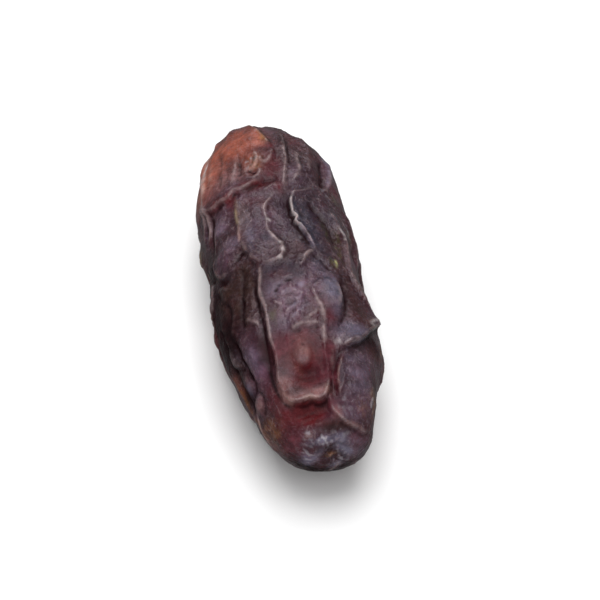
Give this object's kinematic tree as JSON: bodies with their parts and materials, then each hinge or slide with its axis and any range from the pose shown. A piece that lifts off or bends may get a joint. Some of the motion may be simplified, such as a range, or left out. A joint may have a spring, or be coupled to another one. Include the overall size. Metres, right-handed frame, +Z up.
{
  "type": "dried mabroom date",
  "caption": "Long dried mabroom date lying on its side, with dark, folded and wrinkled satin skin, a small stem pit and a blunt tip.",
  "frame": {"origin": "middle of the date's footprint, on the surface that it lies on", "axes": "+Z up; +Y along the date from its tip to its stem end; +X to the right of someone who looks from the tip to the stem end"},
  "size_m": [0.0224, 0.0616, 0.0195],
  "materials": {
    "date_skin": "satin"
  },
  "bodies": {
    "root": {"date": "date_skin"}
  },
  "joints": []
}
